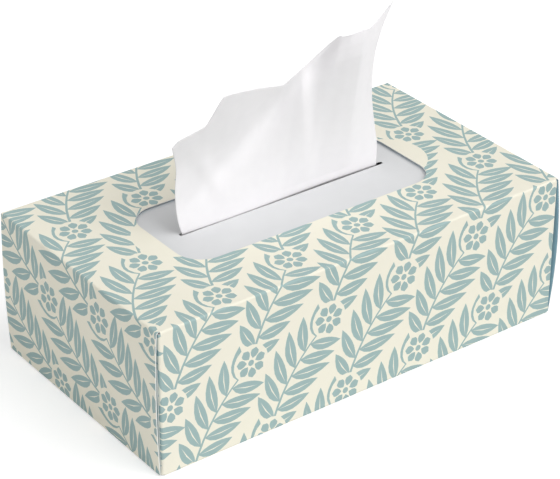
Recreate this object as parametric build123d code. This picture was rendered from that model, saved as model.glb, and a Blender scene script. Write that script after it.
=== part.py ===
from build123d import *
import os
from math import atan, degrees, exp, hypot, pi, sin

# A flat box of facial tissues: a carton folded and glued from one paperboard blank, a slit film
# behind the opening in its top, the interfolded stack inside, and the first tissue standing up
# through the slit. The origin is the centre of the underside, +X runs along the box, the front
# panel faces -Y and +Z is up. All sizes are millimetres.

# Carton
BOX_LENGTH = 220.0  # front panel, corner to corner
BOX_WIDTH = 125.0
BOX_HEIGHT = 72.0
BOARD = 0.4  # thickness of the paperboard
FOLD_RADIUS = 1.0  # outside of every crease
GLUE_LINE = 0.05  # between two layers of board that are glued together
CUT_LIFT = 0.6  # lower cut edges of the back panel and outer flaps, above the table
SEAM_FLAP = 14.0  # height of the seam flap inside the back panel
DUST_FLAP_GAP = 35.0  # between the tips of the two dust flaps at one end
DUST_FLAP_CORNER = 8.0  # cut off each tip of a dust flap
INNER_FLAP_GAP = 18.0  # from the edge of the inner end flap to the top of the box
LEFT_FLAP_BOW = 1.0  # how far the outer flap of the left end bulges at half its height
RIGHT_FLAP_BOW = 2.7  # and that of the right end, which is glued less tightly
FLAP_MARGIN = 0.4  # from the sides of the outer end flap, below its crease, to the faces of the box
FLAP_TAPER = 0.6  # how far each of those sides runs in towards the lower edge

# Opening in the top panel, and the film behind it
OPENING_LENGTH = 136.0
OPENING_WIDTH = 54.0
OPENING_CORNER = 13.0
FILM = 0.12  # thickness of the film
FILM_SAG = 0.9  # how far the film hangs below the board inside the opening
FILM_FREE = 6.0  # film round the opening that is not stuck to the board
FILM_GLUED = 8.0  # film stuck to the board, outside the free strip
SLIT_LENGTH = 114.0
SLIT_WIDTH = 2.0

# Stack of tissues
STACK_END_GAP = 6.0  # from each end of the stack to the dust flaps
STACK_SIDE_GAP = 6.0  # from each side of the stack to the seam flap and the front panel
STACK_EDGE = 4.0  # rounding of the folded long edges
HEAD_SPACE = 12.0  # from the stack up to the top panel

# Tissue that stands in the slit
TISSUE = 0.25  # thickness of the two plies
TISSUE_RISE = 79.0  # from the film to the tip
TISSUE_END_GAP = 2.5  # from each end of the slit to the tissue
TISSUE_FLARE = 8.0  # how much wider the tissue is on the stack than in the slit, on each side
TISSUE_FOOT_BACK = 8.0  # how far the foot on the stack lies behind the slit
TISSUE_SWAY = 0.5  # how far it sways in the slit, to the front on the left and back on the right
FOLD_DEPTH = 6.0  # how far a fold may come towards the front
FOLD_START = 8.0  # the folds begin this far above the film
FOLD_FULL = 36.0  # and have their full depth from here up
FOLD_LEFT = 0.74  # how far a fold moves to the left for each millimetre that it comes forward
FOLD_UP = 0.72  # and how far up

# Edges of the tissue, as shares of half its width in the slit and of its rise above the film
LEFT_EDGE = [(-1.02, 0.0), (-1.06, 0.16), (-1.08, 0.36), (-1.09, 0.55)]
TOP_EDGE = [
    (-1.09, 0.55),
    (-0.74, 0.62),
    (-0.56, 0.73),
    (-0.21, 0.725),
    (0.02, 0.705),
    (0.39, 0.855),
    (0.57, 0.89),
    (0.64, 0.88),
    (0.87, 0.885),
    (1.12, 1.02),
]
RIGHT_EDGE = [(0.98, 0.0), (0.98, 0.2), (0.925, 0.5), (0.96, 0.7), (1.12, 1.02)]

# Folds of the tissue: place at FOLD_FULL, lean to the right over the rise, reach to the left and
# to the right, as shares of the half width, and depth as a share of FOLD_DEPTH
TISSUE_FOLDS = [
    (-0.24, 0.95, 0.2, 0.3, 0.67),
    (0.19, 0.15, 0.2, 0.11, 0.75),
    (0.74, 0.33, 0.2, 0.25, 0.85),
]

# The upper left of the tissue flops over towards the front, above a crease that climbs to the right
FLOP_PLACE = -0.41  # a point of the crease, as a share of the half width
FLOP_RISE = 42.0  # and its height above the film
FLOP_SLOPE = 0.55  # how steeply the crease climbs
FLOP_LEAN = 0.75  # how far the tissue comes forward for each millimetre beyond the crease
FLOP_ROUND = 4.0  # how gently it turns there

# Places that follow from the sizes
TUBE_END = BOX_LENGTH / 2 - FOLD_RADIUS  # creases of the dust flaps
LAYER = BOARD + GLUE_LINE
SEAM_FACE = BOX_WIDTH / 2 - LAYER  # outer face of the seam flap
PANEL_FLAT = BOX_WIDTH - 2 * FOLD_RADIUS
TOP_INSIDE = BOX_HEIGHT - BOARD
FILM_TOP = TOP_INSIDE - FILM_SAG
STACK_TOP = TOP_INSIDE - HEAD_SPACE
TISSUE_HALF = SLIT_LENGTH / 2 - TISSUE_END_GAP


def board_between(outer, inner):
    """The section of folded board between its outer and its inner line."""
    with BuildSketch(Plane.XY) as section:
        with BuildLine():
            add(outer)
            add(inner)
            Line(outer @ 0, inner @ 0)
            Line(outer @ 1, inner @ 1)
        make_face()
    return section.sketch


def tube():
    """Back, top, front and bottom panel in one strip, closed by the seam flap inside the back."""
    side = BOX_WIDTH / 2
    outer = FilletPolyline(
        (side, CUT_LIFT),
        (side, BOX_HEIGHT),
        (-side, BOX_HEIGHT),
        (-side, 0),
        (SEAM_FACE, 0),
        (SEAM_FACE, SEAM_FLAP),
        radius=FOLD_RADIUS,
    )
    inner = FilletPolyline(
        (side - BOARD, CUT_LIFT),
        (side - BOARD, TOP_INSIDE),
        (BOARD - side, TOP_INSIDE),
        (BOARD - side, BOARD),
        (SEAM_FACE - BOARD, BOARD),
        (SEAM_FACE - BOARD, SEAM_FLAP),
        radius=FOLD_RADIUS - BOARD,
    )
    return extrude(Plane.YZ * board_between(outer, inner), TUBE_END, both=True)


def cut_to(flap, *corners):
    """A flap of one end, cut to an outline that is given by its corners across the box."""
    outline = Plane.YZ * make_face(Polyline(*corners, close=True))
    return flap & extrude(outline, BOX_LENGTH)


def outer_flap(bow):
    """End flap of the top panel: it is glued over the inner flap and bulges between its edges."""
    height = BOX_HEIGHT - FOLD_RADIUS - CUT_LIFT
    slope = 2 * atan(2 * bow / height)
    bow_radius = (height + FOLD_RADIUS * sin(slope)) / (2 * sin(slope))
    crease = TUBE_END + 2 * LAYER
    turn = degrees(slope)

    def line(depth):
        level = BOX_HEIGHT - depth
        flat = Line((TUBE_END, level), (crease, level))
        bend = JernArc(flat @ 1, flat % 1, FOLD_RADIUS - depth, turn - 90)
        return Wire([flat, bend, JernArc(bend @ 1, bend % 1, bow_radius - depth, -2 * turn)])

    flap = extrude(Plane.XZ * board_between(line(0), line(BOARD)), BOX_WIDTH / 2, both=True)
    root = PANEL_FLAT / 2
    wide = BOX_WIDTH / 2 - FLAP_MARGIN
    half = [(root, BOX_HEIGHT), (wide, BOX_HEIGHT - FOLD_RADIUS), (wide - FLAP_TAPER, 0)]
    return cut_to(flap, *half, *[(-y, z) for y, z in reversed(half)])


def inner_flap():
    """End flap of the bottom panel, between the dust flaps and the outer flap."""
    face = BOX_LENGTH / 2 + LAYER
    edge = BOX_HEIGHT - INNER_FLAP_GAP
    outer = FilletPolyline((TUBE_END, 0), (face, 0), (face, edge), radius=FOLD_RADIUS)
    inside = face - BOARD
    inner = FilletPolyline((TUBE_END, BOARD), (inside, BOARD), (inside, edge), radius=FOLD_RADIUS - BOARD)
    width = SEAM_FACE - FOLD_RADIUS
    return extrude(Plane.XZ * board_between(outer, inner), width, both=True)


def dust_flap():
    """End flap of the front panel, innermost of the three layers, with its tip corners cut off."""
    front = -BOX_WIDTH / 2
    face = BOX_LENGTH / 2
    tip = -DUST_FLAP_GAP / 2

    def line(depth):
        bend = JernArc((TUBE_END, front + depth), (1, 0), FOLD_RADIUS - depth, 90)
        return Wire([bend, Line(bend @ 1, (face - depth, tip))])

    flap = extrude(board_between(line(0), line(BOARD)), BOX_HEIGHT)
    low = FOLD_RADIUS
    high = BOX_HEIGHT - FOLD_RADIUS
    slant = tip - DUST_FLAP_CORNER
    return cut_to(
        flap,
        (front, low),
        (slant, low),
        (tip, low + DUST_FLAP_CORNER),
        (tip, high - DUST_FLAP_CORNER),
        (slant, high),
        (front, high),
    )


def rounded_outline(margin, level):
    """The opening's outline, let out by a margin, at a level."""
    outline = RectangleRounded(
        OPENING_LENGTH + 2 * margin, OPENING_WIDTH + 2 * margin, OPENING_CORNER + margin
    )
    return Pos(0, 0, level) * outline


def make_carton():
    front_dust = dust_flap()
    inside_flaps = inner_flap() + front_dust + mirror(front_dust, Plane.XZ)
    right_end = inside_flaps + outer_flap(RIGHT_FLAP_BOW)
    left_end = mirror(inside_flaps + outer_flap(LEFT_FLAP_BOW), Plane.YZ)
    opening = extrude(rounded_outline(0, STACK_TOP), HEAD_SPACE + 2 * BOARD)
    return tube() + right_end + left_end - opening


def make_film():
    """A film that is stuck round its edge and hangs a little inside the opening, with a slit along it."""
    sheet = extrude(rounded_outline(FILM_FREE + FILM_GLUED, TOP_INSIDE), -FILM)
    hang = loft([rounded_outline(FILM_FREE, TOP_INSIDE), rounded_outline(0, FILM_TOP)])
    slit = extrude(Pos(0, 0, FILM_TOP - 2 * FILM) * SlotOverall(SLIT_LENGTH, SLIT_WIDTH), HEAD_SPACE)
    return sheet + Pos(0, 0, -FILM) * hang - hang - slit


def make_stack():
    """The interfolded tissues: their folded long edges are round, their short ends are cut flat."""
    length = BOX_LENGTH - 2 * (BOARD + STACK_END_GAP)
    width = 2 * (SEAM_FACE - BOARD - STACK_SIDE_GAP)
    height = STACK_TOP - BOARD
    section = Pos(0, BOARD + height / 2) * RectangleRounded(width, height, STACK_EDGE)
    return extrude(Plane.YZ * section, length / 2, both=True)


def edge_of_tissue(shares):
    """A smooth edge of the tissue through its points, as places along the slit and rises above it."""
    return Spline(*[(x * TISSUE_HALF, rise * TISSUE_RISE) for x, rise in shares])


def fold_depth(x, rise):
    """How far the flop and the folds bring the tissue towards the front, at a place and a rise."""
    share = min(max((rise - FOLD_START) / (FOLD_FULL - FOLD_START), 0), 1)
    beyond = (rise - FLOP_RISE - FLOP_SLOPE * (x - FLOP_PLACE * TISSUE_HALF)) / hypot(1, FLOP_SLOPE)
    depth = FLOP_LEAN * (beyond + hypot(beyond, FLOP_ROUND)) / 2
    for place, lean, left, right, height in TISSUE_FOLDS:
        across = x - place * TISSUE_HALF - lean * (rise - FOLD_FULL)
        reach = TISSUE_HALF * (left if across < 0 else right)
        depth += FOLD_DEPTH * height * exp(-((across / reach) ** 2))
    return depth * share * share * (3 - 2 * share)


def make_tissue(rows=16, columns=28):
    """A sheet between the slit, its two side edges and its top edge, and a strip down to the stack."""
    left = edge_of_tissue(LEFT_EDGE)
    right = edge_of_tissue(RIGHT_EDGE)
    top = edge_of_tissue(TOP_EDGE)
    slit = Line(left @ 0, right @ 0)

    def place(u, v):
        across = (slit @ u) * (1 - v) + (top @ u) * v
        along = (left @ v) * (1 - u) + (right @ v) * u
        low = (slit @ 0) * (1 - u) + (slit @ 1) * u
        high = (top @ 0) * (1 - u) + (top @ 1) * u
        flat = across + along - low * (1 - v) - high * v
        x, rise = flat.X, flat.Y
        depth = fold_depth(x, rise)
        sway = TISSUE_SWAY * sin(pi * (2 * u - 1)) * (1 - v) ** 2
        return (x - FOLD_LEFT * depth, sway - depth, FILM_TOP - FILM + rise + FOLD_UP * depth)

    foot_half = TISSUE_HALF + TISSUE_FLARE
    foot = Line((-foot_half, TISSUE_FOOT_BACK, STACK_TOP), (foot_half, TISSUE_FOOT_BACK, STACK_TOP))
    lines = [Spline(*[place(i / columns, j / rows) for i in range(columns + 1)]) for j in range(rows + 1)]
    strips = Shell.make_loft([Wire([line]) for line in [foot] + lines], ruled=True).faces()
    return Part() + [extrude(strip, TISSUE, dir=(0, 1, 0)) for strip in strips]


parts = {
    "carton": make_carton(),
    "film_window": make_film(),
    "tissue_stack": make_stack(),
    "pop_up_tissue": make_tissue(),
}
os.makedirs("parts", exist_ok=True)
for name, part in parts.items():
    export_step(part, f"parts/{name}.step")
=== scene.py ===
import bpy
import numpy as np
from mathutils.geometry import delaunay_2d_cdt
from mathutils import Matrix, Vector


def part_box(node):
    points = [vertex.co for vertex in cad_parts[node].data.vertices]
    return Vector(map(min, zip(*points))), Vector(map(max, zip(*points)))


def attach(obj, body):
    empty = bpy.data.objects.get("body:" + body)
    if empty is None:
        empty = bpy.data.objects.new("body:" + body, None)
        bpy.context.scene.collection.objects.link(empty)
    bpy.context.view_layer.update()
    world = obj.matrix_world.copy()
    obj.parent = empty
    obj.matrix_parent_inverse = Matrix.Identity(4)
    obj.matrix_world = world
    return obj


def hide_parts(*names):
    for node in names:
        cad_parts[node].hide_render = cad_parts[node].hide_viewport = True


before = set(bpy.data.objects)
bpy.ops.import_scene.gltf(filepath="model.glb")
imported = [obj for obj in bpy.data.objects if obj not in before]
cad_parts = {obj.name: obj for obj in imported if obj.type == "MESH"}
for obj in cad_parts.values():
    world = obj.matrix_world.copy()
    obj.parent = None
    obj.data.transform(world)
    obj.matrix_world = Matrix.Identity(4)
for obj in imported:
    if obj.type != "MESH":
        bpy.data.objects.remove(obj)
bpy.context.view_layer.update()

MM = 0.001

# Carton
CARTON_LOW, CARTON_HIGH = (np.array(corner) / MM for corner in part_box("carton"))
BOX_LENGTH = 220.0
BOX_WIDTH = CARTON_HIGH[1] - CARTON_LOW[1]
BOX_HEIGHT = CARTON_HIGH[2] - CARTON_LOW[2]
BOARD = 0.4  # thickness
FOLD_RADIUS = 1.0
GLUE = 0.05
LAYER = BOARD + GLUE
CUT_LIFT = 0.6  # from the table to the lower edge of the back and of the outer flaps
SEAM_FLAP = 14.0
DUST_FLAP_GAP = 35.0  # between the tips of two dust flaps
DUST_FLAP_CORNER = 8.0
INNER_FLAP_GAP = 18.0  # from the tip of an inner flap to the top
FLAP_BOWS = {-1: 1.0, 1: 2.7}  # how far the outer flap at each end bulges
FLAP_MARGIN = 0.4  # from the edge of an outer flap to the side of the box
FLAP_TAPER = 0.6  # from the widest place to the tip, on each side
FLAP_WIDER = FOLD_RADIUS - FLAP_MARGIN  # than the flat part of the top, on each side
OPENING_LENGTH = 136.0
OPENING_WIDTH = 54.0
OPENING_CORNER = 13.0
CORNER_STEPS = 8
HALF_MOON_RADIUS = 19.5  # plain fields at both ends of the opening
HALF_MOON_PLACE = 59.3  # from the middle of the box to the middle of each field
HALF_MOON_POINTS = 48
TUBE_END = BOX_LENGTH / 2 - FOLD_RADIUS
SEAM_FACE = BOX_WIDTH / 2 - LAYER
QUARTER = np.pi / 2
BEND = FOLD_RADIUS * QUARTER  # board in one square crease
BEND_STEPS = 5  # in each crease
BOW_STEPS = 10  # along each bulge

# Board along the girth, from the seam flap under the back to the lower edge of the back, as
# (length, turn) of each run
GIRTH_RUNS = [
    (SEAM_FLAP - FOLD_RADIUS, 0.0),
    (BEND, -QUARTER),
    (BOX_WIDTH / 2 + SEAM_FACE - 2 * FOLD_RADIUS, 0.0),
    (BEND, -QUARTER),
    (BOX_HEIGHT - 2 * FOLD_RADIUS, 0.0),
    (BEND, -QUARTER),
    (BOX_WIDTH - 2 * FOLD_RADIUS, 0.0),
    (BEND, -QUARTER),
    (BOX_HEIGHT - FOLD_RADIUS - CUT_LIFT, 0.0),
]
GIRTH_MARKS = np.cumsum([0.0] + [length for length, turn in GIRTH_RUNS])
BOTTOM, FRONT, TOP, BACK = GIRTH_MARKS[[2, 4, 6, 8]]  # where each panel's flat part starts
TOP_MIDDLE = (TOP + GIRTH_MARKS[7]) / 2

# Board along each end flap, from the end of the tube outwards
FLAP_HEIGHT = BOX_HEIGHT - FOLD_RADIUS - CUT_LIFT


def outer_runs(bow):
    """An outer flap: a little way flat, a crease that stops short of square, and an even bulge.

    The bulge is an arc, which starts at a slope of 2 atan(2 bow / height).
    """
    slope = 2 * np.arctan(2 * bow / FLAP_HEIGHT)
    radius = (FLAP_HEIGHT + FOLD_RADIUS * np.sin(slope)) / (2 * np.sin(slope))
    crease = FOLD_RADIUS * (QUARTER - slope)
    return [(2 * LAYER, 0.0), (crease, slope - QUARTER), (2 * radius * slope, -2 * slope)]


OUTER_RUNS = {end: outer_runs(bow) for end, bow in FLAP_BOWS.items()}
INNER_RUNS = [(LAYER, 0.0), (BEND, -QUARTER), (BOX_HEIGHT - INNER_FLAP_GAP - FOLD_RADIUS, 0.0)]
DUST_RUNS = [(BEND, -QUARTER), ((BOX_WIDTH - DUST_FLAP_GAP) / 2 - FOLD_RADIUS, 0.0)]

# Print: arching sprays of leaves in leaning rows, and a flower at the foot of each
PAPER, INK, INSIDE, CUT = range(4)  # the carton's materials, in order
PRINT_SEED = 11
PRINT_COLUMNS = 9  # to each side of the middle of the top
PRINT_ROWS = 6
SPRAY_COLUMN = 31.0
SPRAY_ROW = 57.0
PRINT_LEAN = np.radians(-34)
SPRAY_LENGTH = 57.0
SPRAY_TURN = np.radians(40)
STEM_WIDTH = 1.1
STEM_TAPER = (1.2, 0.6)  # width at the foot and at the tip, as shares
STEM_POINTS = 10  # along each edge
LEAVES = 6  # on each side of a stem
LEAF_SPREADS = ((-1, 66), (1, 54))  # side of the stem, and degrees from it
LEAF_SPREAD_MORE = 8  # degrees at the foot of the stem
LEAVES_FROM, LEAVES_OVER = 0.1, 0.86  # shares of the stem
LEAF_LENGTH = 20.5
LEAF_SHORTEST = 0.62  # share of the length at both ends of the stem
LEAF_VARIES = (0.94, 1.04)  # random share of the length
LEAF_WIDTH = 6.0
LEAF_BEND = -0.2  # sideways at the tip, as a share of the length
LEAF_POINTS = 7  # along each edge
TIP_LEAF = (0.5, 0.8)  # shares of the length and the width
MIDRIB_SHARES = (0.08, 0.45, 0.8)  # start, widest place and end along the leaf
MIDRIB_HALF = 0.3
FLOWER_RADIUS = 7.6
FLOWER_FIELD = 9.0
FIELD_POINTS = 18
EYE_SHARE = 0.2  # of the radius
EYE_POINTS = 10
PETALS = 7
PETAL_FROM = 0.3  # share of the radius
PETAL_POINTS = 5  # along each edge
BLEED = 6.0  # the print runs this far round onto the dust flaps

# The cut of the flat blank into triangles
INSIDE_OUTLINES = 1  # keep what lies inside an outline
SAME_PLACE = 1e-4


def bent(distance, runs, heading=0.0):
    """Place and heading on a line of runs that each turn evenly.

    The first l of a run that has turned by a are a chord of l sin(a/2) / (a/2), headed halfway.
    """
    place = np.zeros((len(distance), 2))
    heading = np.full(len(distance), heading)
    start = 0.0
    for length, turn in runs:
        gone = np.clip(distance - start, 0, length)
        turned = turn * gone / length
        middle = heading + turned / 2
        chord = gone * np.sinc(turned / (2 * np.pi))
        place += chord[:, None] * np.stack([np.cos(middle), np.sin(middle)], axis=1)
        heading = heading + turned
        start += length
    return place, heading


def folded(flat):
    """Outer face of the folded board and its outward direction, at places (s, g) of the blank.

    The girth line gives each place across the box. Beyond the end of the tube, the flap of that
    panel runs on along the box and then turns in, square to its own panel. The top's flaps are
    flat where they are wider than the top.
    """
    s, g = flat.T
    beyond = np.clip(np.abs(s) - TUBE_END, 0, None)
    on_top = (g > TOP - BEND / 2) & (g < BACK - BEND / 2)
    level = np.where(on_top & (beyond > 0), np.clip(g, TOP, BACK - BEND), g)
    across, heading = bent(level, GIRTH_RUNS, -QUARTER)
    across += (SEAM_FACE, SEAM_FLAP)
    across[:, 0] += g - level
    outward = np.stack([-np.sin(heading), np.cos(heading)], axis=1)
    side = np.sign(s)
    run, turn = bent(beyond, DUST_RUNS)
    for runs, here in [
        (INNER_RUNS, g < FRONT),
        (OUTER_RUNS[-1], on_top & (side < 0)),
        (OUTER_RUNS[1], on_top & (side > 0)),
    ]:
        run[here], turn[here] = bent(beyond[here], runs)
    along = np.clip(s, -TUBE_END, TUBE_END) + side * run[:, 0]
    across += run[:, 1:] * outward
    place = np.column_stack([along, across])
    normal = np.column_stack([-side * np.sin(turn), np.cos(turn)[:, None] * outward])
    return place, normal


def run_ends(runs):
    """Distances along the box at which a flap's runs start and end, on the flat blank."""
    return TUBE_END + np.cumsum([0.0] + [length for length, turn in runs])


def circle(radius, points):
    """Points on a circle about the origin, evenly round it."""
    angle = np.arange(points) * 2 * np.pi / points
    return radius * np.stack([np.cos(angle), np.sin(angle)], axis=1)


def rectangle(s_low, s_high, g_low, g_high):
    """The four corners of a rectangle, anticlockwise."""
    return np.array([(s_low, g_low), (s_high, g_low), (s_high, g_high), (s_low, g_high)])


def moved(shape, place, angle=0.0, flip=1):
    """A flat shape that is mirrored by flip, turned by an angle and moved to a place.

    A mirrored outline is read backwards, so that it still runs anticlockwise.
    """
    c, s = np.cos(angle), np.sin(angle)
    return shape[::flip] * (1, flip) @ np.array([[c, s], [-s, c]]) + place


def leaf(length, width):
    """A pointed leaf along +s, about a midrib that bends as t^2.

    Its half width is sin(pi t^0.9)^0.85 of the most.
    """
    t = np.linspace(0, 1, LEAF_POINTS)
    half = width / 2 * np.sin(np.pi * t**0.9) ** 0.85
    middle = LEAF_BEND * length * t**2
    lower = np.stack([length * t, middle - half], axis=1)
    upper = np.stack([length * t, middle + half], axis=1)
    return np.concatenate([lower, upper[-2:0:-1]])


def midrib(length):
    """A thin pale wedge along the middle of a leaf."""
    start, widest, end = MIDRIB_SHARES
    t = np.array([start, widest, end, widest])
    side = MIDRIB_HALF * np.array([0, -1, 0, 1])
    return np.stack([length * t, LEAF_BEND * length * t**2 + side], axis=1)


def spray(rng):
    """A stem on an arc from the origin along +s, with leaves on both sides and one at its tip."""
    radius = SPRAY_LENGTH / SPRAY_TURN

    def on_stem(distance):
        angle = -distance / radius
        return radius * np.stack([-np.sin(angle), np.cos(angle) - 1], axis=-1), angle

    distance = np.linspace(0, SPRAY_LENGTH, STEM_POINTS)
    line, angle = on_stem(distance)
    taper = np.interp(distance, (0, SPRAY_LENGTH), STEM_TAPER)
    half = STEM_WIDTH / 2 * taper[:, None] * np.stack([-np.sin(angle), np.cos(angle)], axis=1)
    shapes = [(INK, np.concatenate([line - half, (line + half)[::-1]]))]
    step = LEAVES_OVER / LEAVES
    for share in LEAVES_FROM + step * np.arange(LEAVES):
        for side, spread in LEAF_SPREADS:
            at = share + side * step / 4
            place, heading = on_stem(at * SPRAY_LENGTH)
            size = LEAF_SHORTEST + (1 - LEAF_SHORTEST) * np.sin(np.pi * at)
            length = LEAF_LENGTH * size * rng.uniform(*LEAF_VARIES)
            angle = heading + side * np.radians(spread + LEAF_SPREAD_MORE * (1 - at))
            shapes.append((INK, moved(leaf(length, LEAF_WIDTH), place, angle, side)))
            shapes.append((PAPER, moved(midrib(length), place, angle, side)))
    tip, heading = on_stem(SPRAY_LENGTH)
    length, width = np.array([LEAF_LENGTH, LEAF_WIDTH]) * TIP_LEAF
    return shapes + [(INK, moved(leaf(length, width), tip, heading))]


def flower():
    """Round petals about a dot, on a pale field.

    A petal's half width is 0.46 sin(pi t^0.8)^0.6 (0.3 + 0.6 t) of the radius.
    """
    t = np.linspace(0, 1, PETAL_POINTS)
    along = FLOWER_RADIUS * (PETAL_FROM + (1 - PETAL_FROM) * t)
    half = 0.46 * FLOWER_RADIUS * np.sin(np.pi * t**0.8) ** 0.6 * (0.3 + 0.6 * t)
    lower = np.stack([along, -half], axis=1)
    upper = np.stack([along, half], axis=1)
    petal = np.concatenate([lower, upper[-2:0:-1]])
    petals = [(INK, moved(petal, 0, turn)) for turn in np.arange(PETALS) * 2 * np.pi / PETALS]
    eye = circle(EYE_SHARE * FLOWER_RADIUS, EYE_POINTS)
    return [(PAPER, circle(FLOWER_FIELD, FIELD_POINTS)), *petals, (INK, eye)]


def print_shapes():
    """Every shape of the print, in the order in which it is laid down, as (colour, outline)."""
    rng = np.random.default_rng(PRINT_SEED)
    middle = np.array([0.0, TOP_MIDDLE])
    heading = QUARTER + SPRAY_TURN / 2
    sprays = []
    flowers = []
    for column in range(-PRINT_COLUMNS, PRINT_COLUMNS + 1):
        for row in range(-PRINT_ROWS, PRINT_ROWS + 1):
            foot = np.array([[column * SPRAY_COLUMN, (row + column % 2 / 2) * SPRAY_ROW]])
            place = moved(foot, middle, PRINT_LEAN)
            for colour, shape in spray(rng):
                sprays.append((colour, moved(shape, place, heading + PRINT_LEAN)))
            for colour, shape in flower():
                flowers.append((colour, moved(shape, place, PRINT_LEAN)))
    flap_end = run_ends(OUTER_RUNS[1])[-1]
    fields = [rectangle(-TUBE_END - BLEED, TUBE_END + BLEED, FRONT - BEND, GIRTH_MARKS[-1])]
    fields.append(rectangle(-flap_end, flap_end, TOP - BEND, BACK))

    def shows(shape):
        low, high = shape.min(axis=0), shape.max(axis=0)
        return any(np.all(high > field[0]) and np.all(low < field[2]) for field in fields)

    return [(colour, shape) for colour, shape in sprays + flowers if shows(shape)]


def at_end(outline, side):
    """An outline of a flap at the right end, mirrored for the left one."""
    return np.array(outline)[::side] * (side, 1)


def outer_flap(side):
    """Outline of an outer end flap: it widens before its crease and narrows to its tip."""
    root, crease, shoulder, tip = run_ends(OUTER_RUNS[side])
    tip_wider = FLAP_WIDER - FLAP_TAPER
    edge = [(root, 0.0), (crease, FLAP_WIDER), (shoulder, FLAP_WIDER), (tip, tip_wider)]
    front = [(s, TOP - out) for s, out in edge]
    back = [(s, BACK - BEND + out) for s, out in reversed(edge)]
    return at_end(front + back, side)


def inner_flap(side):
    """Outline of an inner end flap, a layer narrower than the flat part of the bottom."""
    width = 2 * (SEAM_FACE - FOLD_RADIUS)
    return at_end(rectangle(TUBE_END, run_ends(INNER_RUNS)[-1], BOTTOM, BOTTOM + width), side)


def dust_flap(side, panel, start):
    """Outline of a dust flap, from a start beyond its crease, with its tip corners cut off."""
    root = TUBE_END + start
    tip = run_ends(DUST_RUNS)[-1]
    shoulder = tip - DUST_FLAP_CORNER
    g_low, g_high = panel, panel + BOX_HEIGHT - 2 * FOLD_RADIUS
    lower = [(root, g_low), (shoulder, g_low), (tip, g_low + DUST_FLAP_CORNER)]
    upper = [(tip, g_high - DUST_FLAP_CORNER), (shoulder, g_high), (root, g_high)]
    return at_end(lower + upper, side)


def plain_flaps(start):
    """The inner flaps, and the dust flaps from a start beyond their creases.

    None of them shows its face.
    """
    flaps = []
    for side in (-1, 1):
        flaps.append(inner_flap(side))
        flaps += [dust_flap(side, panel, start) for panel in (FRONT, BACK)]
    return flaps


def blank_panels():
    """The tube's four panels as one field, then the end flaps."""
    tube = rectangle(-TUBE_END, TUBE_END, 0.0, GIRTH_MARKS[-1])
    return [tube, outer_flap(-1), outer_flap(1), *plain_flaps(0.0)]


def opening():
    """A rectangle with round corners in the top panel."""
    corner = circle(OPENING_CORNER, 4 * CORNER_STEPS)
    half = np.array([OPENING_LENGTH, OPENING_WIDTH]) / 2 - OPENING_CORNER
    rounds = []
    for turn, side in enumerate([(1, 1), (-1, 1), (-1, -1), (1, -1)]):
        quarter = np.roll(corner, -CORNER_STEPS * turn, axis=0)[: CORNER_STEPS + 1]
        rounds.append(quarter + half * side)
    return np.concatenate(rounds) + (0, TOP_MIDDLE)


def bend_lines():
    """Lines across the blank where the folded board turns: in each crease, and along the bulges."""
    lines = []
    for mark, (length, turn) in zip(GIRTH_MARKS, GIRTH_RUNS):
        if turn:
            for g in np.linspace(mark, mark + length, BEND_STEPS + 1):
                lines.append([(-TUBE_END, g), (TUBE_END, g)])
    for side in (-1, 1):
        for runs, g_low, g_high in (
            (OUTER_RUNS[side], TOP - FLAP_WIDER, BACK - BEND + FLAP_WIDER),
            (INNER_RUNS, BOTTOM, FRONT - BEND),
            (DUST_RUNS, FRONT, TOP - BEND),
            (DUST_RUNS, BACK, GIRTH_MARKS[-1]),
        ):
            for start, (length, turn) in zip(run_ends(runs), runs):
                if turn:
                    steps = BOW_STEPS if length > BEND else BEND_STEPS
                    for s in np.linspace(start, start + length, steps + 1):
                        lines.append([(side * s, g_low), (side * s, g_high)])
    return np.array(lines)


def cut_blank(shapes, marks):
    """Triangles of the blank: places, corners, the top shape on each and the points at each place.

    A triangle belongs to the blank if a panel lies under it and the opening doesn't. Marks are
    points that become places of the cut, and their numbers come first.
    """
    panels = blank_panels()
    outlines = panels + shapes + [opening()]
    lines = bend_lines()
    starts = len(marks) + np.cumsum([0] + [len(outline) for outline in outlines])
    faces = [list(range(a, b)) for a, b in zip(starts, starts[1:])]
    edges = (starts[-1] + np.arange(2 * len(lines)).reshape(-1, 2)).tolist()
    points = np.concatenate([marks, *outlines, lines.reshape(-1, 2)])
    result = delaunay_2d_cdt(points.tolist(), edges, faces, INSIDE_OUTLINES, SAME_PLACE, True)
    places, _, corners, sources, _, under = result
    lowest = np.array([min(found, default=len(faces)) for found in under])
    highest = np.array([max(found, default=0) for found in under])
    kept = (lowest < len(panels)) & (highest < len(faces) - 1)
    return np.array(places), np.array(corners)[kept], highest[kept] - len(panels), sources


def outer_edges(corners):
    """The edges that only one triangle has, in that triangle's direction."""
    edges = np.concatenate([corners[:, [0, 1]], corners[:, [1, 2]], corners[:, [2, 0]]])
    keys = np.sort(edges, axis=1)
    _, first, count = np.unique(keys, axis=0, return_index=True, return_counts=True)
    return edges[first[count == 1]]


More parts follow.
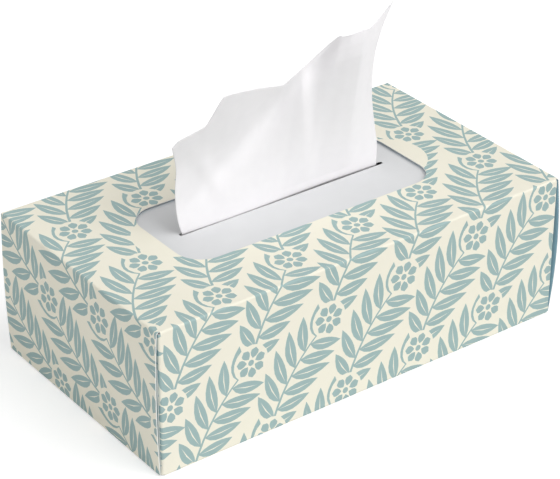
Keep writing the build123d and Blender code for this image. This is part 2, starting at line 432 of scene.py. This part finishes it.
def make_carton(materials):
    """The printed blank, cut out, folded by formula and given the thickness of the board."""
    plain = plain_flaps(BLEED)
    plain.append(rectangle(-TUBE_END, TUBE_END, 0.0, FRONT - BEND))
    for side in (-1, 1):
        half_moon = circle(HALF_MOON_RADIUS, HALF_MOON_POINTS)
        plain.append(half_moon + (side * HALF_MOON_PLACE, TOP_MIDDLE))
    shapes = print_shapes() + [(PAPER, field) for field in plain]
    outlines = [shape for colour, shape in shapes]
    colours = np.array([colour for colour, shape in shapes])
    flat, outer, top_shape, _ = cut_blank(outlines, np.empty((0, 2)))
    rim = outer_edges(outer)
    marked, marks = np.unique(rim, return_inverse=True)
    back_flat, inner, _, sources = cut_blank([], flat[marked])

    # The rim's places come first in the second cut, so they are found again by their numbers.
    numbers = np.concatenate([np.array(found, int) for found in sources])
    owners = np.repeat(np.arange(len(sources)), [len(found) for found in sources])
    from_rim = numbers < len(marked)
    behind = np.zeros(len(marked), int)
    behind[numbers[from_rim]] = owners[from_rim]
    marks = marks.reshape(rim.shape)
    a, b = rim.T
    a_back, b_back = behind[marks].T + len(flat)

    face, face_normal = folded(flat)
    back, back_normal = folded(back_flat)
    places = np.concatenate([face, back - BOARD * back_normal]) * MM
    inner = inner[:, ::-1]
    walls = np.stack([b, a, a_back, b_back], axis=1)
    mesh = bpy.data.meshes.new("carton_board")
    mesh.from_pydata(places, [], [*outer.tolist(), *(inner + len(flat)).tolist(), *walls.tolist()])

    ink = np.where(top_shape >= 0, colours[top_shape], PAPER)
    slots = np.concatenate([ink, np.full(len(inner), INSIDE), np.full(len(walls), CUT)])
    for material in materials:
        mesh.materials.append(material)
    mesh.polygons.foreach_set("material_index", slots.astype(np.int32))

    # The blank is its own layout: the outer face, the walls along its rim, the inner face beside it
    along = flat[b] - flat[a]
    out = np.stack([along[:, 1], -along[:, 0]], axis=1)
    out *= BOARD / np.linalg.norm(along, axis=1)[:, None]
    wall_flat = np.stack([flat[b], flat[a], flat[a] + out, flat[b] + out], axis=1)
    width = np.ptp(flat[:, 0]) + 4 * BOARD
    inner_flat = back_flat[inner] * (-1, 1) + (width, 0)
    fields = [flat[outer], inner_flat, wall_flat]
    layout = np.concatenate([field.reshape(-1, 2) for field in fields])
    layout = (layout - layout.min(axis=0)) / np.ptp(layout, axis=0).max()
    mesh.uv_layers.new(name="OFBake").uv.foreach_set("vector", layout.astype(np.float32).ravel())

    wall_normals = np.zeros((4 * len(walls), 3))
    normals = [face_normal[outer].reshape(-1, 3), -back_normal[inner].reshape(-1, 3), wall_normals]
    mesh.polygons.foreach_set("use_smooth", slots != CUT)
    mesh.normals_split_custom_set(np.concatenate(normals).tolist())
    return mesh


# Tissue
SLIT_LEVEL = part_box("film_window")[0].z / MM  # from which the rise of the tissue counts
STACK_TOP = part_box("tissue_stack")[1].z / MM
TISSUE = 0.25  # thickness
TISSUE_RISE = 79.0
TISSUE_HALF = 54.5  # half its width in the slit
TISSUE_FLARE = 8.0  # how much wider its foot is, on each side
TISSUE_FOOT_BACK = 8.0  # from the slit back to its foot
TISSUE_SWAY = 0.5  # to and fro in the slit
FOLD_DEPTH = 7.0
FOLD_START = 4.0  # the rise at which the folds start
FOLD_FULL = 58.0  # the rise at which they have their full depth
FOLD_LEVEL = 36.0  # the rise at which each has the place that is given for it
FOLD_LEFT = 0.74  # what comes forward by 1 also moves this far to the left
FOLD_UP = 0.72  # and this far up, so that it comes straight towards the camera
BELLY_DEPTH = 2.4  # how far the sheet bulges back between the slit and BELLY_RISE
BELLY_RISE = 64.0

# Above a line that is level on the left and then slopes up, the tissue leans forward
FLOP_RISE = 34.0  # of the level part
FLOP_PLACE = -0.5  # of the bend in the line, as a share of the half width
FLOP_BEND = 8.0  # how round that bend is
FLOP_SLOPE = 0.8
FLOP_LEAN = 0.52  # forward by this share of the height above the line
FLOP_ROUND = 6.0  # how round the crease along the line is
FLOP_START = 8.0  # the lean is eased in from this rise
FLOP_FULL = 36.0  # to this one

# Edges of the tissue, as shares of half its width in the slit and of its rise above the film
LEFT_EDGE = [(-1.02, 0.0), (-1.06, 0.1), (-1.08, 0.26), (-1.065, 0.44), (-1.09, 0.55)]
TOP_EDGE = [
    (-1.09, 0.55),
    (-1.03, 0.577),
    (-0.76, 0.614),
    (-0.58, 0.745),
    (-0.26, 0.738),
    (0.0, 0.718),
    (0.456, 0.88),
    (0.57, 0.903),
    (0.595, 0.888),
    (0.87, 0.882),
    (1.12, 1.02),
]
RIGHT_EDGE = [
    (0.98, 0.0),
    (0.985, 0.15),
    (0.955, 0.28),
    (0.919, 0.5),
    (0.92, 0.6),
    (0.945, 0.74),
    (1.005, 0.866),
    (1.12, 1.02),
]
TOP_STRAIGHT = 0.7  # how far the top edge goes from a smooth line to one with corners

# Folds of the tissue: place at FOLD_LEVEL as a share of the half width, lean to the right over the
# rise, reach to the left and to the right as shares of the half width, and depth as a share of
# FOLD_DEPTH, less than 0 for a groove
TISSUE_FOLDS = [
    (-0.41, 1.3, 0.18, 0.24, -0.7),
    (0.19, -0.05, 0.24, 0.08, 0.55),
    (0.385, 0.3, 0.08, 0.08, 0.1),
    (0.72, 0.15, 0.4, 0.09, 1.5),
]

# Small bumps: place across and rise in millimetres, lean to the right over the rise, then reach
# across, reach up and depth in millimetres
TISSUE_BUMPS = [
    (-41.0, 26.0, -0.5, 4.5, 14.0, 0.8),
    (9.0, 11.0, 0.8, 6.0, 6.0, 0.5),
]

# Fine waves of the soft paper: length across in millimetres, slant over the rise, and height in
# millimetres
TISSUE_WAVES = [(19.0, 0.25, 0.12), (10.5, 0.2, 0.05), (6.2, 0.15, 0.02)]
WAVE_START = 14.0  # the rise at which the waves have their full height
TISSUE_COLUMNS = 220
TISSUE_ROWS = 150  # above the slit
FOOT_ROWS = 8  # from the stack to the slit


def smooth_line(points, share, straight=0.0):
    """A smooth line through points: cubics over chord length, with slopes from the neighbours.

    A share of it may be the straight lines between the points.
    """
    points = np.array(points, float)
    gaps = np.linalg.norm(np.diff(points, axis=0), axis=1)
    knots = np.concatenate([[0.0], np.cumsum(gaps)])
    slopes = np.gradient(points, knots, axis=0)
    at = share * knots[-1]
    piece = np.clip(np.searchsorted(knots, at, side="right") - 1, 0, len(gaps) - 1)
    t = ((at - knots[piece]) / gaps[piece])[:, None]
    gap = gaps[piece][:, None]
    start = (1 + 2 * t) * (1 - t) ** 2 * points[piece] + t * (1 - t) ** 2 * gap * slopes[piece]
    end = t**2 * (3 - 2 * t) * points[piece + 1] + t**2 * (t - 1) * gap * slopes[piece + 1]
    chord = (1 - t) * points[piece] + t * points[piece + 1]
    return (1 - straight) * (start + end) + straight * chord


def eased(value, low, high):
    """From 0 at the low value to 1 at the high one, level at both."""
    share = np.clip((value - low) / (high - low), 0, 1)
    return share**2 * (3 - 2 * share)


def fold_depth(x, rise):
    """How far the tissue comes forward, apart from its fine waves.

    It leans forward above a line, with rounded bends, and bulges back as half a sine. Folds are
    bells across, which grow evenly with the rise, and small bumps are bells both ways.
    """
    beside = x - FLOP_PLACE * TISSUE_HALF
    line = FLOP_RISE + FLOP_SLOPE * (beside + np.hypot(beside, FLOP_BEND)) / 2
    over = rise - line
    share = FLOP_LEAN * eased(rise, FLOP_START, FLOP_FULL)
    depth = share * (over + np.hypot(over, FLOP_ROUND)) / 2
    depth -= BELLY_DEPTH * np.sin(np.pi * np.clip(rise / BELLY_RISE, 0, 1))
    grown = np.clip((rise - FOLD_START) / (FOLD_FULL - FOLD_START), 0, 1)
    for place, lean, left, right, height in TISSUE_FOLDS:
        across = x - place * TISSUE_HALF - lean * (rise - FOLD_LEVEL)
        reach = TISSUE_HALF * np.where(across < 0, left, right)
        depth += grown * FOLD_DEPTH * height * np.exp(-((across / reach) ** 2))
    for place, level, lean, reach, reach_up, height in TISSUE_BUMPS:
        across = (x - place - lean * (rise - level)) / reach
        depth += height * np.exp(-(across**2) - ((rise - level) / reach_up) ** 2)
    return depth


def wave_depth(x, rise):
    """Fine waves across the tissue: slanted sines, which start from nothing at the slit."""
    depth = np.zeros_like(x)
    for length, slant, height in TISSUE_WAVES:
        depth += height * np.sin(2 * np.pi * (x - slant * rise) / length)
    return depth * np.clip(rise / WAVE_START, 0, 1) ** 2


def make_tissue(material):
    """A sheet between the slit, its side edges and its top edge, brought forward by folds.

    Its side edges are joined by straight lines, which the top edge lifts in proportion to the
    height. In the slit it sways as one sine, which fades upwards. A strip runs down and back from
    the slit to the stack.
    """
    size = np.array([TISSUE_HALF, TISSUE_RISE])
    u = np.linspace(0, 1, TISSUE_COLUMNS + 1)
    v = np.linspace(0, 1, TISSUE_ROWS + 1)
    top = smooth_line(np.array(TOP_EDGE) * size, u, TOP_STRAIGHT)[None]
    left = smooth_line(np.array(LEFT_EDGE) * size, v)[:, None]
    right = smooth_line(np.array(RIGHT_EDGE) * size, v)[:, None]
    u = u[None, :, None]
    v = v[:, None, None]
    lift = top - (1 - u) * top[:, :1] - u * top[:, -1:]
    x, rise = np.moveaxis((1 - u) * left + u * right + v * lift, 2, 0)
    depth = fold_depth(x, rise) + wave_depth(x, rise)
    sway = TISSUE_SWAY * (np.sin(np.pi * (2 * u - 1)) * (1 - v) ** 2)[..., 0]
    level = SLIT_LEVEL + rise + FOLD_UP * depth
    sheet = np.stack([x - FOLD_LEFT * depth, sway - depth, level], axis=-1)

    foot_half = TISSUE_HALF + TISSUE_FLARE
    even = np.ones_like(u)
    foot = [foot_half * (2 * u - 1), TISSUE_FOOT_BACK * even, STACK_TOP * even]
    foot = np.concatenate(foot, axis=-1)
    share = np.linspace(0, 1, FOOT_ROWS, endpoint=False)[:, None, None]
    places = np.concatenate([(1 - share) * foot + share * sheet[:1], sheet])
    index = np.arange(places.size // 3).reshape(places.shape[:2])
    quads = np.stack([index[:-1, :-1], index[:-1, 1:], index[1:, 1:], index[1:, :-1]], axis=-1)
    mesh = bpy.data.meshes.new("tissue_sheet")
    mesh.from_pydata(places.reshape(-1, 3) * MM, [], quads.reshape(-1, 4).tolist())
    mesh.polygons.foreach_set("use_smooth", np.ones(len(mesh.polygons), bool))
    mesh.materials.append(material)
    return mesh


# How far apart the features of each pattern are
BOARD_MOTTLE = 9.0
FILM_WAVES = 30.0
FILM_HAZE = 14.0
CREPE_RIDGES = 0.7
TISSUE_CLOUDS = 5.0
STACK_ROWS = 5.655

WAVE_RADIANS = 20.0  # by which a wave texture goes on per unit


def linear(code):
    """Linear colour of an sRGB hex value."""
    share = np.array([int(code[i : i + 2], 16) for i in (1, 3, 5)]) / 255
    low = share / 12.92
    high = ((share + 0.055) / 1.055) ** 2.4
    return (*np.where(share > 0.04045, high, low).tolist(), 1.0)


def node(tree, kind, inputs=None, **settings):
    """A node with its settings; an input is a value, or the output of another node."""
    made = tree.nodes.new(kind)
    for name, value in settings.items():
        setattr(made, name, value)
    for name, value in (inputs or {}).items():
        if isinstance(value, bpy.types.NodeSocket):
            tree.links.new(value, made.inputs[name])
        else:
            made.inputs[name].default_value = value
    return made


def new_material(name):
    """An empty material, its node tree and its object coordinates."""
    material = bpy.data.materials.new(name)
    material.use_nodes = True
    tree = material.node_tree
    tree.nodes.clear()
    return material, tree, node(tree, "ShaderNodeTexCoord").outputs["Object"]


def per_metre(spacing):
    """Scale of a texture whose features are this many millimetres apart."""
    return 1 / (spacing * MM)


def board_material(name, colour, deep_colour, fibre, roughness):
    """Paperboard: a matt, smooth sheet with a slight mottle and a fine fibre relief.

    The fibres are drawn at the given spacing, which is coarser than real ones so that it shows.
    """
    material, tree, place = new_material(name)
    mottle = node(
        tree,
        "ShaderNodeTexNoise",
        {"Vector": place, "Scale": per_metre(BOARD_MOTTLE), "Detail": 4.0},
    )
    mixed = node(
        tree,
        "ShaderNodeMixRGB",
        {"Fac": mottle.outputs["Fac"], "Color1": linear(deep_colour), "Color2": linear(colour)},
    )
    grain = node(
        tree,
        "ShaderNodeTexNoise",
        {"Vector": place, "Scale": per_metre(fibre), "Detail": 3.0},
    )
    bump = node(
        tree,
        "ShaderNodeBump",
        {"Height": grain.outputs["Fac"], "Strength": 0.12, "Distance": 0.05 * MM},
    )
    shader = node(
        tree,
        "ShaderNodeBsdfPrincipled",
        {
            "Base Color": mixed.outputs["Color"],
            "Roughness": roughness,
            "IOR": 1.5,
            "Normal": bump.outputs["Normal"],
        },
    )
    node(tree, "ShaderNodeOutputMaterial", {"Surface": shader.outputs["BSDF"]})
    return material


def film_material():
    """Milky polyethylene film: a satin skin with slow waves and a faint haze, not seen through."""
    material, tree, place = new_material("polyethylene_film_milky")
    wave = node(
        tree,
        "ShaderNodeTexNoise",
        {"Vector": place, "Scale": per_metre(FILM_WAVES), "Detail": 1.0},
    )
    bump = node(
        tree,
        "ShaderNodeBump",
        {"Height": wave.outputs["Fac"], "Strength": 0.3, "Distance": 0.6 * MM},
    )
    haze = node(
        tree,
        "ShaderNodeTexNoise",
        {"Vector": place, "Scale": per_metre(FILM_HAZE), "Detail": 2.0},
    )
    tint = node(
        tree,
        "ShaderNodeMixRGB",
        {"Fac": haze.outputs["Fac"], "Color1": linear("#D6D7D8"), "Color2": linear("#DEDFE0")},
    )
    shader = node(
        tree,
        "ShaderNodeBsdfPrincipled",
        {
            "Base Color": tint.outputs["Color"],
            "Roughness": 0.38,
            "IOR": 1.51,
            "Normal": bump.outputs["Normal"],
        },
    )
    node(tree, "ShaderNodeOutputMaterial", {"Surface": shader.outputs["BSDF"]})
    return material


def tissue_material(name, rows=None):
    """Creped tissue paper: soft white fibre with fine crepe ridges.

    Real crepe ridges are a third of a millimetre apart and drawn at twice that. A stack shows the
    rows of its layers instead, drawn about ten times as coarse as real ones so that they show.
    """
    material, tree, place = new_material(name)
    if rows:
        scale = 2 * np.pi * per_metre(rows) / WAVE_RADIANS
        relief = node(
            tree,
            "ShaderNodeTexWave",
            {"Vector": place, "Scale": scale, "Distortion": 1.5, "Detail": 2.0},
            bands_direction="Z",
        )
    else:
        relief = node(
            tree,
            "ShaderNodeTexNoise",
            {"Vector": place, "Scale": per_metre(CREPE_RIDGES), "Detail": 2.0},
        )
    bump = node(
        tree,
        "ShaderNodeBump",
        {"Height": relief.outputs["Fac"], "Strength": 0.1, "Distance": 0.1 * MM},
    )
    cloud = node(
        tree,
        "ShaderNodeTexNoise",
        {"Vector": place, "Scale": per_metre(TISSUE_CLOUDS), "Detail": 3.0},
    )
    tint = node(
        tree,
        "ShaderNodeMixRGB",
        {"Fac": cloud.outputs["Fac"], "Color1": linear("#F4F2F4"), "Color2": linear("#F9F7F9")},
    )
    shader = node(
        tree,
        "ShaderNodeBsdfPrincipled",
        {
            "Base Color": tint.outputs["Color"],
            "Roughness": 0.9,
            "IOR": 1.45,
            "Specular IOR Level": 0.2,
            "Normal": bump.outputs["Normal"],
        },
    )
    node(tree, "ShaderNodeOutputMaterial", {"Surface": shader.outputs["BSDF"]})
    return material


def stand(mesh, name, replaced):
    """A finished piece in place of a CAD node."""
    piece = bpy.data.objects.new(name, mesh)
    bpy.context.scene.collection.objects.link(piece)
    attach(piece, "root")
    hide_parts(replaced)
    return piece


board = [
    board_material("coated_board_cream", "#F6F2E2", "#F2EEDC", 0.6, 0.7),
    board_material("coated_board_sage_ink", "#A3BDBC", "#9CB6B5", 0.6, 0.7),
    board_material("board_slate_blue_inside", "#A9D3E8", "#9CC8E0", 1.2, 0.8),
    board_material("board_cut_edge", "#F8F7F3", "#F1F0EA", 0.5, 0.85),
]
stand(make_carton(board), "printed_carton", "carton")
sheet = make_tissue(tissue_material("creped_tissue"))
tissue = stand(sheet, "tissue_in_slit", "pop_up_tissue")
plies = tissue.modifiers.new("plies", "SOLIDIFY")
plies.thickness = TISSUE * MM
plies.offset = -1.0
stacked = tissue_material("stacked_tissue", STACK_ROWS)
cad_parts["film_window"].material_slots[0].material = film_material()
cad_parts["tissue_stack"].material_slots[0].material = stacked

# Floor, light and camera
FLOOR_SIDE = 6000.0
FLOOR_LIFT = 0.48  # added to the floor for the camera alone
ROOM_LIGHT = 0.42
LAMP_ANGLE = 60.0  # so wide that every shadow is soft
LAMPS = [  # name, strength, degrees down from overhead, degrees round to the right of the front
    ("key", 1.95, 46.0, 36.0),
    ("fill", 0.6, 72.0, -75.0),
]
CAMERA_EYE = (-513.1, -688.9, 547.7)
CAMERA_AZIMUTH = -36.565
CAMERA_ELEVATION = 30.146
CAMERA_LENS = 139.74  # on a sensor 36 mm wide


def make_floor():
    """A wide white floor, which the camera sees as white where no shadow falls."""
    half = FLOOR_SIDE / 2
    corners = np.column_stack([rectangle(-half, half, -half, half), np.zeros(4)])
    mesh = bpy.data.meshes.new("floor")
    mesh.from_pydata(corners * MM, [], [(0, 1, 2, 3)])
    material, tree, _ = new_material("floor_white")
    path = node(tree, "ShaderNodeLightPath")
    lift = node(
        tree,
        "ShaderNodeMath",
        {0: path.outputs["Is Camera Ray"], 1: FLOOR_LIFT},
        operation="MULTIPLY",
    )
    glow = node(tree, "ShaderNodeEmission", {"Strength": lift.outputs[0]})
    paint = node(tree, "ShaderNodeBsdfDiffuse", {"Color": linear("#E1E1E1")})
    shader = node(
        tree,
        "ShaderNodeAddShader",
        {0: paint.outputs["BSDF"], 1: glow.outputs["Emission"]},
    )
    node(tree, "ShaderNodeOutputMaterial", {"Surface": shader.outputs["Shader"]})
    mesh.materials.append(material)
    floor = bpy.data.objects.new("floor", mesh)
    bpy.context.scene.collection.objects.link(floor)


def make_world():
    """An even white room, which the camera and reflections see at full white."""
    world = bpy.data.worlds.new("room")
    world.use_nodes = True
    tree = world.node_tree
    tree.nodes.clear()
    path = node(tree, "ShaderNodeLightPath")
    seen = path.outputs["Is Camera Ray"]
    for ray in ("Is Glossy Ray", "Is Transmission Ray"):
        either = node(tree, "ShaderNodeMath", {0: seen, 1: path.outputs[ray]}, operation="MAXIMUM")
        seen = either.outputs[0]
    strength = node(
        tree,
        "ShaderNodeMapRange",
        {"Value": seen, "To Min": ROOM_LIGHT, "To Max": 1.0},
    )
    light = node(
        tree,
        "ShaderNodeBackground",
        {"Color": linear("#FFFFFF"), "Strength": strength.outputs["Result"]},
    )
    node(tree, "ShaderNodeOutputWorld", {"Surface": light.outputs["Background"]})
    bpy.context.scene.world = world


def make_lamps():
    """A wide soft lamp, high to the front right, and a weak one from the left."""
    for name, strength, down, round_right in LAMPS:
        lamp = bpy.data.lights.new(name, "SUN")
        lamp.energy = strength
        lamp.angle = np.radians(LAMP_ANGLE)
        made = bpy.data.objects.new(name, lamp)
        made.rotation_euler = (np.radians(down), 0.0, np.radians(round_right))
        bpy.context.scene.collection.objects.link(made)


def make_camera():
    """A camera with the photograph's place, direction and lens, fitted to the box's corners."""
    lens = bpy.data.cameras.new("camera")
    lens.lens = CAMERA_LENS
    camera = bpy.data.objects.new("camera", lens)
    camera.location = np.array(CAMERA_EYE) * MM
    camera.rotation_euler = (np.radians(90 - CAMERA_ELEVATION), 0.0, np.radians(CAMERA_AZIMUTH))
    bpy.context.scene.collection.objects.link(camera)
    bpy.context.scene.camera = camera


make_floor()
make_world()
make_lamps()
make_camera()
bpy.context.scene.view_settings.view_transform = "Standard"
